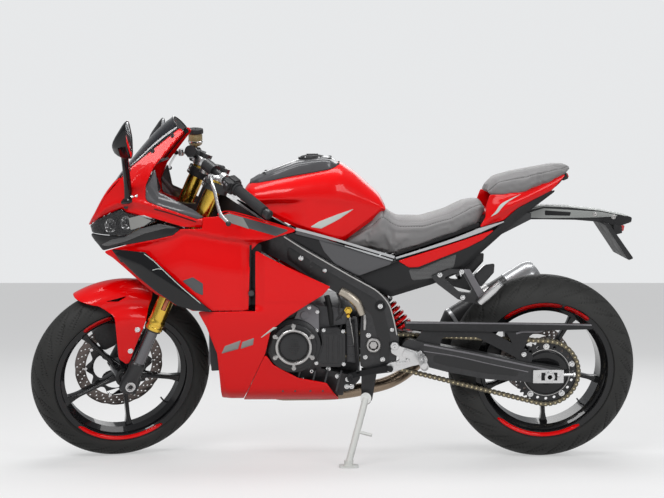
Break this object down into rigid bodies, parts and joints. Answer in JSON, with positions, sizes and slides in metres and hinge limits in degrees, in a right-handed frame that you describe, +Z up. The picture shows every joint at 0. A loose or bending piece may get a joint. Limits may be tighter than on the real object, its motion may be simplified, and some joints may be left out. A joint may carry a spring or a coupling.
{
  "type": "sport motorcycle",
  "caption": "Faired sport motorcycle parked on its side stand, with turning wheels, steering and a folding stand.",
  "frame": {"origin": "centre of the bounding box's base, on the ground the tyres and the stand's foot touch", "axes": "+X to the rear, +Y to the rider's right, +Z up; the machine leans 9 degrees to its left on the stand with the steering on its left stop"},
  "size_m": [2.007, 0.763, 1.181],
  "materials": {
    "red_paint": "high-gloss red lacquer over moulded plastic",
    "grey_paint": "satin metallic grey lacquer",
    "silver_paint": "silver lacquer",
    "black_gloss": "piano-black moulding",
    "black_satin": "grained black moulding",
    "frame_black": "satin black powder coat",
    "engine_dark": "dark cast alloy",
    "cover_dark": "dark satin-painted castings",
    "alloy_bright": "brushed forged alloy",
    "gold_anodised": "gold anodised tube",
    "rim_black": "gloss black cast wheel",
    "disc_steel": "ground and drilled steel",
    "chain_steel": "oiled chain steel",
    "stand_silver": "silver-painted steel",
    "pipe_steel": "heat-tinted stainless",
    "muffler_black": "matt black can",
    "tyre": "new tyre rubber",
    "rubber": "ribbed grip rubber",
    "seat_vinyl": "grained dark grey seat vinyl",
    "screen_smoke": "smoked polycarbonate",
    "lamp_glass": "clear lamp lens",
    "lamp_red": "red lamp lens",
    "lamp_amber": "amber reflector",
    "mirror_glass": "mirror glass"
  },
  "bodies": {
    "chassis": {"main_frame": "frame_black", "engine_block": "engine_dark", "engine_covers": "cover_dark", "radiator": "black_satin", "swingarm": "frame_black", "rear_axle": "alloy_bright", "drive_chain": "chain_steel", "chain_guard": "black_satin", "rear_shock": "frame_black", "exhaust_pipe": "pipe_steel", "muffler": "muffler_black", "peg_brackets": "alloy_bright", "foot_controls": "black_satin", "pillion_pegs": "alloy_bright", "rear_caliper": "frame_black", "upper_cowl": "red_paint", "headlights": "lamp_glass", "nose_trim": "black_gloss", "winglets": "black_gloss", "side_panels": "red_paint", "mid_panels": "red_paint", "belly_pan": "red_paint", "windscreen": "screen_smoke", "cockpit": "grey_paint", "mirrors": "black_gloss", "fuel_tank": "red_paint", "tank_cover": "grey_paint", "rider_seat": "seat_vinyl", "pillion_seat": "seat_vinyl", "tail_cowl": "red_paint", "tail_strips": "red_paint", "accent_trims": "silver_paint", "undertail": "black_satin", "side_covers": "black_satin", "plate_bracket": "black_satin"},
    "side_stand": {"side_stand": "stand_silver"},
    "rear_wheel": {"rear_tyre": "tyre", "rear_rim": "rim_black", "rear_sprocket": "chain_steel", "rear_disc": "disc_steel"},
    "steering": {"yokes": "frame_black", "fork_tubes": "gold_anodised", "fork_sliders": "alloy_bright", "front_axle": "alloy_bright", "handlebars": "frame_black", "grips": "rubber", "controls": "black_satin", "front_fender": "red_paint", "front_caliper": "frame_black"},
    "front_wheel": {"front_tyre": "tyre", "front_rim": "rim_black", "front_disc": "disc_steel"}
  },
  "joints": [
    {"name": "steering", "type": "hinge", "parent": "chassis", "child": "steering", "pos_m": [-0.44628, 0.03257, 0.81831], "axis": [0.411, -0.1426, 0.9004], "range_deg": [-48, 0]},
    {"name": "front_wheel", "type": "hinge", "parent": "steering", "child": "front_wheel", "pos_m": [-0.72071, 0.10275, 0.28833], "axis": [-0.3708, 0.8761, 0.308], "continuous": true},
    {"name": "rear_wheel", "type": "hinge", "parent": "chassis", "child": "rear_wheel", "pos_m": [0.6916, 0.11321, 0.30914], "axis": [0, 0.9877, 0.1564], "continuous": true},
    {"name": "side_stand", "type": "hinge", "parent": "chassis", "child": "side_stand", "pos_m": [0.0964, -0.02132, 0.2125], "axis": [-0.0484, -0.978, 0.2027], "range_deg": [0, 104]}
  ]
}
